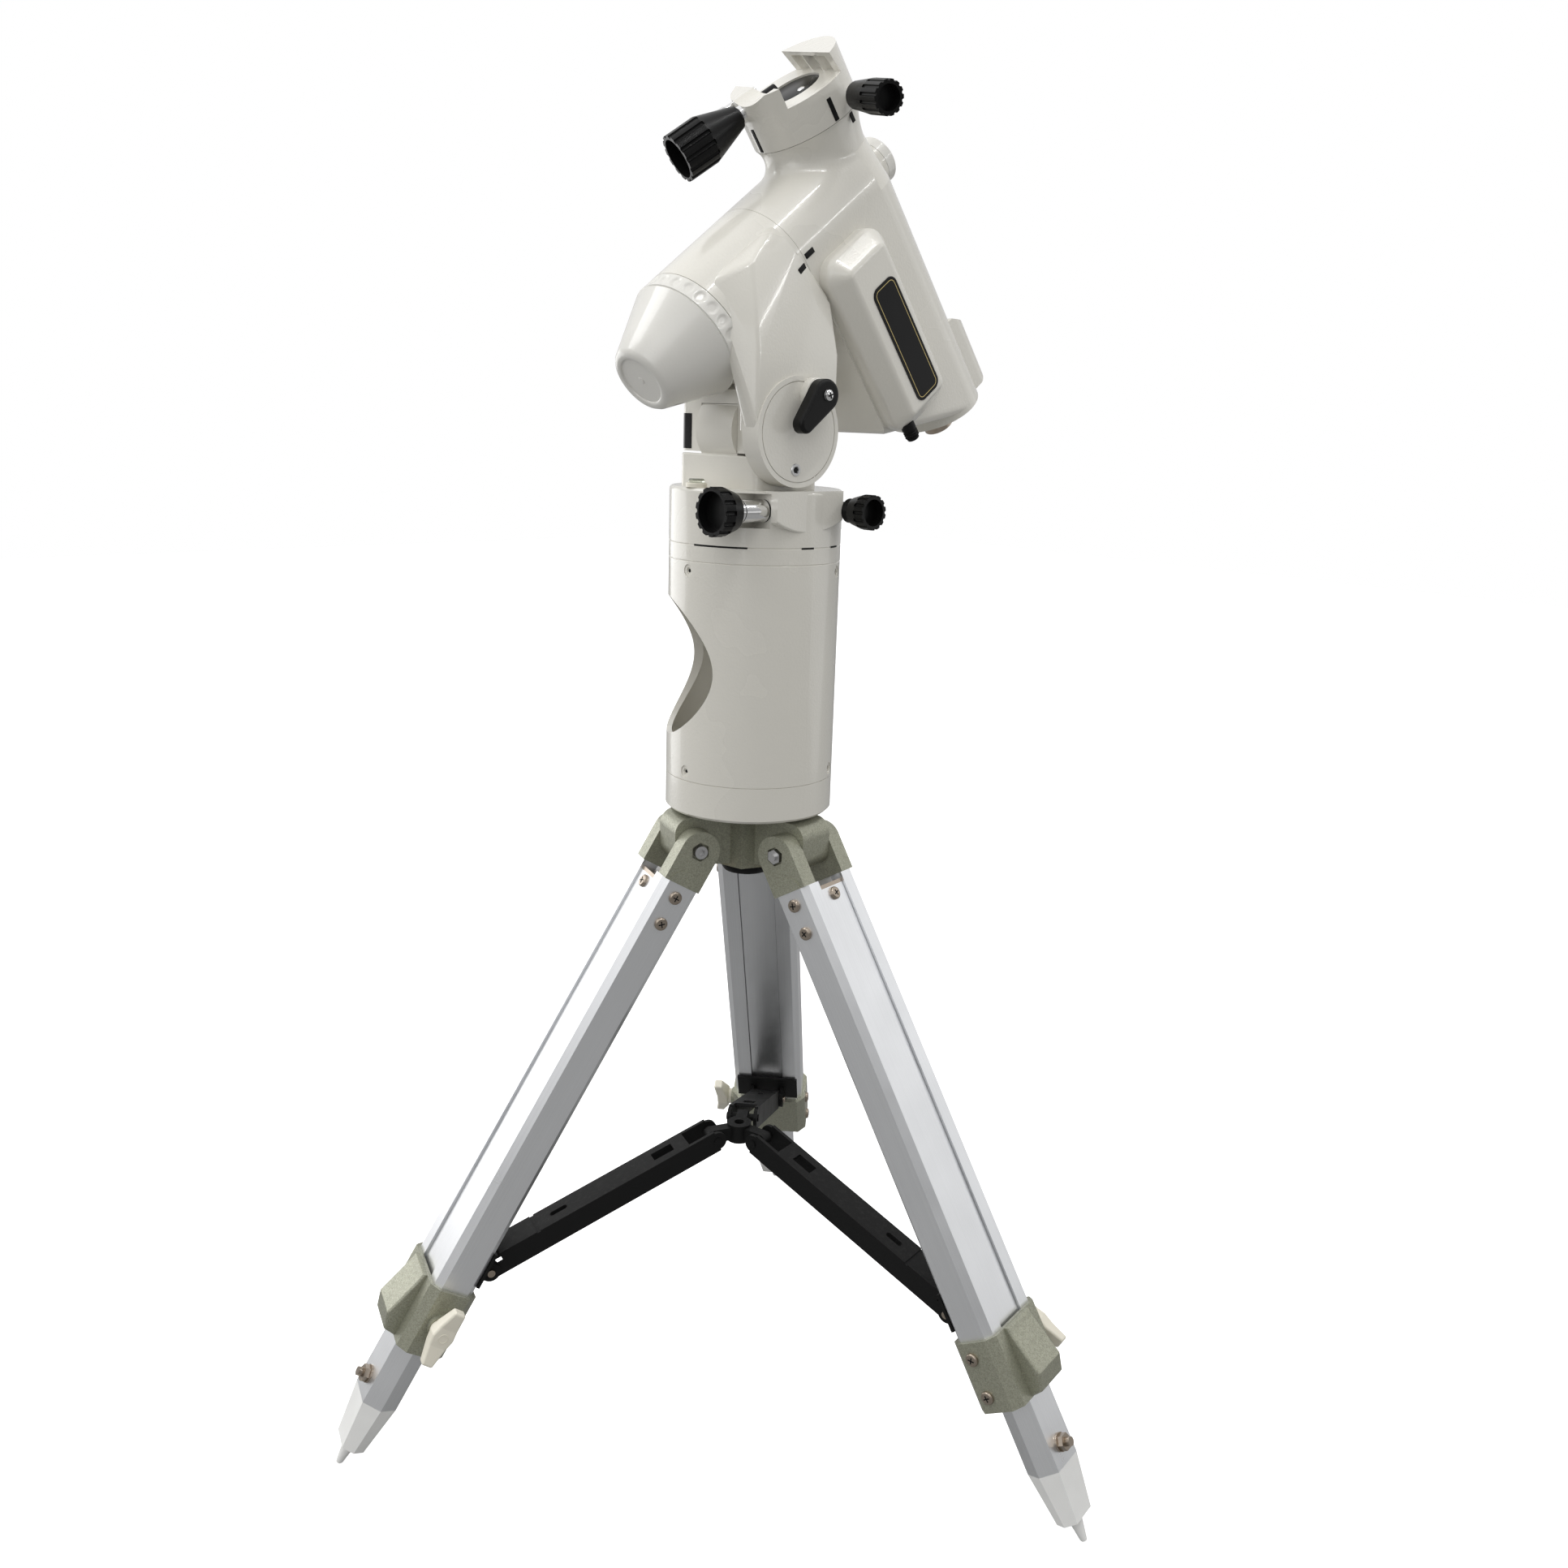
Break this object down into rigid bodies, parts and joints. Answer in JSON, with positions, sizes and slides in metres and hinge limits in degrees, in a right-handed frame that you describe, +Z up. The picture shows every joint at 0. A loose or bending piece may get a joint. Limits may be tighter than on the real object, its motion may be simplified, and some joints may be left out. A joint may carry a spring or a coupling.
{
  "type": "equatorial telescope mount on tripod",
  "caption": "Motor-driven equatorial mount head with a dovetail saddle on a half pillar and a folding tripod with sliding legs and a spreader.",
  "frame": {"origin": "on the floor, on the vertical azimuth axis", "axes": "+Z up; +Y north, the way the raised end of the polar axis points; +X east"},
  "size_m": [0.5497, 0.5671, 1.0581],
  "materials": {
    "ivory_paint": "warm white paint with a fine orange-peel skin",
    "ivory_cap": "warm white moulded cap",
    "ivory_plastic": "ivory moulded wing knob",
    "white_foot": "white moulded foot",
    "grey_casting": "grey-green metallic paint on a casting",
    "rail_aluminium": "silver anodised extrusion",
    "black_plastic": "black moulded plastic",
    "black_knob": "black fluted knob",
    "bronze_steel": "brownish plated steel",
    "steel": "turned steel",
    "brass_wheel": "machined brass",
    "chrome_screw": "bright chrome",
    "ring_metal": "brownish turned metal",
    "clear_level": "clear bubble level"
  },
  "bodies": {
    "stand": {"tripod_head": "grey_casting", "leg_pivot_bolts": "steel", "pillar_tube": "ivory_paint", "pillar_top_flange": "ivory_paint", "pillar_bottom_flange": "ivory_paint", "pillar_screws": "ivory_paint", "azimuth_axle": "steel"},
    "base": {"azimuth_base": "ivory_paint", "bubble_level": "clear_level"},
    "altitude_knob": {"altitude_knob": "black_knob"},
    "azimuth_knob_east": {"azimuth_knob_east": "black_knob"},
    "azimuth_knob_west": {"azimuth_knob_west": "black_knob"},
    "polar_housing": {"ra_housing": "ivory_paint", "altitude_shaft": "steel"},
    "altitude_lever": {"altitude_lever": "black_knob"},
    "polar_scope_cap": {"polar_scope_cap": "ivory_cap"},
    "declination_body": {"ra_shaft": "steel", "ra_worm_wheel": "brass_wheel", "dec_housing": "ivory_paint", "control_box_cover": "ivory_paint", "motor_cover": "ivory_paint"},
    "polar_front_cap": {"polar_front_cap": "ivory_cap"},
    "counterweight_bar": {"counterweight_bar": "ring_metal"},
    "saddle": {"saddle": "ivory_paint", "dec_shaft": "steel", "dec_worm_wheel": "brass_wheel"},
    "saddle_clamp_knob": {"saddle_clamp_knob": "black_knob"},
    "saddle_safety_screw": {"saddle_safety_screw": "chrome_screw"},
    "dec_clamp_knob": {"dec_clamp_knob": "black_knob"},
    "leg_1": {"leg_1_rails": "rail_aluminium", "leg_1_ears": "grey_casting", "leg_1_collar": "grey_casting", "leg_1_fasteners": "bronze_steel", "leg_1_spreader_bracket": "black_plastic"},
    "leg_1_shank": {"leg_1_shank": "rail_aluminium", "leg_1_foot": "white_foot", "leg_1_travel_stops": "bronze_steel"},
    "leg_1_wing_knob": {"leg_1_wing_knob": "ivory_plastic"},
    "leg_1_spreader_arm": {"leg_1_spreader_arm": "black_plastic"},
    "leg_2": {"leg_2_rails": "rail_aluminium", "leg_2_ears": "grey_casting", "leg_2_collar": "grey_casting", "leg_2_fasteners": "bronze_steel", "leg_2_spreader_bracket": "black_plastic"},
    "leg_2_shank": {"leg_2_shank": "rail_aluminium", "leg_2_foot": "white_foot", "leg_2_travel_stops": "bronze_steel"},
    "leg_2_wing_knob": {"leg_2_wing_knob": "ivory_plastic"},
    "leg_2_spreader_arm": {"leg_2_spreader_arm": "black_plastic"},
    "leg_3": {"leg_3_rails": "rail_aluminium", "leg_3_ears": "grey_casting", "leg_3_collar": "grey_casting", "leg_3_fasteners": "bronze_steel", "leg_3_spreader_bracket": "black_plastic"},
    "leg_3_shank": {"leg_3_shank": "rail_aluminium", "leg_3_foot": "white_foot", "leg_3_travel_stops": "bronze_steel"},
    "leg_3_wing_knob": {"leg_3_wing_knob": "ivory_plastic"},
    "leg_3_spreader_arm": {"leg_3_spreader_arm": "black_plastic"},
    "spreader_hub": {"spreader_hub": "black_plastic"}
  },
  "joints": [
    {"name": "azimuth_turn", "type": "hinge", "parent": "stand", "child": "base", "pos_m": [0, 0, 0.705], "axis": [0, 0, 1], "range_deg": [-7, 7]},
    {"name": "altitude_knob_turn", "type": "hinge", "parent": "base", "child": "altitude_knob", "pos_m": [0.047, -0.06, 0.731], "axis": [0, -1, 0], "continuous": true},
    {"name": "azimuth_knob_east_turn", "type": "hinge", "parent": "base", "child": "azimuth_knob_east", "pos_m": [0.07, 0.035, 0.731], "axis": [1, 0, 0], "continuous": true},
    {"name": "azimuth_knob_west_turn", "type": "hinge", "parent": "base", "child": "azimuth_knob_west", "pos_m": [-0.07, 0.035, 0.731], "axis": [-1, 0, 0], "continuous": true},
    {"name": "altitude_tilt", "type": "hinge", "parent": "base", "child": "polar_housing", "pos_m": [0, -0.0154, 0.7854], "axis": [1, 0, 0], "range_deg": [-20, 15]},
    {"name": "altitude_lever_turn", "type": "hinge", "parent": "polar_housing", "child": "altitude_lever", "pos_m": [0.061, -0.0038, 0.811], "axis": [1, 0, 0], "range_deg": [-60, 60]},
    {"name": "polar_scope_cap_pull", "type": "slide", "parent": "polar_housing", "child": "polar_scope_cap", "axis": [0, -0.7912, -0.6115], "range_m": [0, 0.08]},
    {"name": "right_ascension", "type": "hinge", "parent": "polar_housing", "child": "declination_body", "pos_m": [0, 0.07279, 0.95496], "axis": [0, 0.7912, 0.6115], "continuous": true},
    {"name": "polar_front_cap_pull", "type": "slide", "parent": "declination_body", "child": "polar_front_cap", "axis": [0, 0.7912, 0.6115], "range_m": [0, 0.03]},
    {"name": "counterweight_bar_slide", "type": "slide", "parent": "declination_body", "child": "counterweight_bar", "axis": [0, 0.6115, -0.7912], "range_m": [0, 0.2]},
    {"name": "declination", "type": "hinge", "parent": "declination_body", "child": "saddle", "pos_m": [0, 0.07279, 0.95496], "axis": [0, -0.6115, 0.7912], "continuous": true},
    {"name": "saddle_clamp_turn", "type": "hinge", "parent": "saddle", "child": "saddle_clamp_knob", "pos_m": [-0.01545, -0.01773, 0.99432], "axis": [-0.309, -0.7525, -0.5816], "continuous": true},
    {"name": "saddle_safety_turn", "type": "hinge", "parent": "saddle", "child": "saddle_safety_screw", "pos_m": [-0.0277, -0.01317, 1.00353], "axis": [-0.309, -0.7525, -0.5816], "continuous": true},
    {"name": "dec_clamp_turn", "type": "hinge", "parent": "saddle", "child": "dec_clamp_knob", "pos_m": [0.05021, 0.0401, 1.01185], "axis": [0.9511, -0.2445, -0.189], "continuous": true},
    {"name": "leg_1_fold", "type": "hinge", "parent": "stand", "child": "leg_1", "pos_m": [0.04999, 0.01008, 0.4765], "axis": [-0.1977, 0.9803, 0], "range_deg": [0, 20]},
    {"name": "leg_1_extend", "type": "slide", "parent": "leg_1", "child": "leg_1_shank", "axis": [0.4938, 0.0996, -0.8638], "range_m": [0, 0.28]},
    {"name": "leg_1_wing_turn", "type": "hinge", "parent": "leg_1", "child": "leg_1_wing_knob", "pos_m": [0.2426, 0.09217, 0.12492], "axis": [-0.1977, 0.9803, 0], "continuous": true},
    {"name": "leg_1_arm_fold", "type": "hinge", "parent": "leg_1", "child": "leg_1_spreader_arm", "pos_m": [0.20738, 0.04181, 0.1476], "axis": [-0.1977, 0.9803, 0], "range_deg": [0, 32]},
    {"name": "leg_2_fold", "type": "hinge", "parent": "stand", "child": "leg_2", "pos_m": [-0.03373, 0.03826, 0.4765], "axis": [-0.7501, -0.6613, 0], "range_deg": [0, 20]},
    {"name": "leg_2_extend", "type": "slide", "parent": "leg_2", "child": "leg_2_shank", "axis": [-0.3332, 0.3779, -0.8638], "range_m": [0, 0.28]},
    {"name": "leg_2_wing_turn", "type": "hinge", "parent": "leg_2", "child": "leg_2_wing_knob", "pos_m": [-0.20112, 0.16402, 0.12492], "axis": [-0.7501, -0.6613, 0], "continuous": true},
    {"name": "leg_2_arm_fold", "type": "hinge", "parent": "leg_2", "child": "leg_2_spreader_arm", "pos_m": [-0.1399, 0.15869, 0.1476], "axis": [-0.7501, -0.6613, 0], "range_deg": [0, 32]},
    {"name": "leg_3_fold", "type": "hinge", "parent": "stand", "child": "leg_3", "pos_m": [-0.01627, -0.04834, 0.4765], "axis": [0.9478, -0.319, 0], "range_deg": [0, 20]},
    {"name": "leg_3_extend", "type": "slide", "parent": "leg_3", "child": "leg_3_shank", "axis": [-0.1607, -0.4775, -0.8638], "range_m": [0, 0.28]},
    {"name": "leg_3_wing_turn", "type": "hinge", "parent": "leg_3", "child": "leg_3_wing_knob", "pos_m": [-0.04148, -0.25619, 0.12492], "axis": [0.9478, -0.319, 0], "continuous": true},
    {"name": "leg_3_arm_fold", "type": "hinge", "parent": "leg_3", "child": "leg_3_spreader_arm", "pos_m": [-0.06748, -0.2005, 0.1476], "axis": [0.9478, -0.319, 0], "range_deg": [0, 32]},
    {"name": "spreader_hub_rise", "type": "slide", "parent": "stand", "child": "spreader_hub", "axis": [0, 0, 1], "range_m": [0, 0.0925]}
  ],
  "couplings": [
    {"joint": "leg_1_arm_fold", "follows": "leg_1_fold", "ratio": 1.6},
    {"joint": "leg_2_fold", "follows": "leg_1_fold", "ratio": 1},
    {"joint": "leg_2_arm_fold", "follows": "leg_1_fold", "ratio": 1.6},
    {"joint": "leg_3_fold", "follows": "leg_1_fold", "ratio": 1},
    {"joint": "leg_3_arm_fold", "follows": "leg_1_fold", "ratio": 1.6},
    {"joint": "spreader_hub_rise", "follows": "leg_1_fold", "m_per_rad": 0.2636}
  ]
}
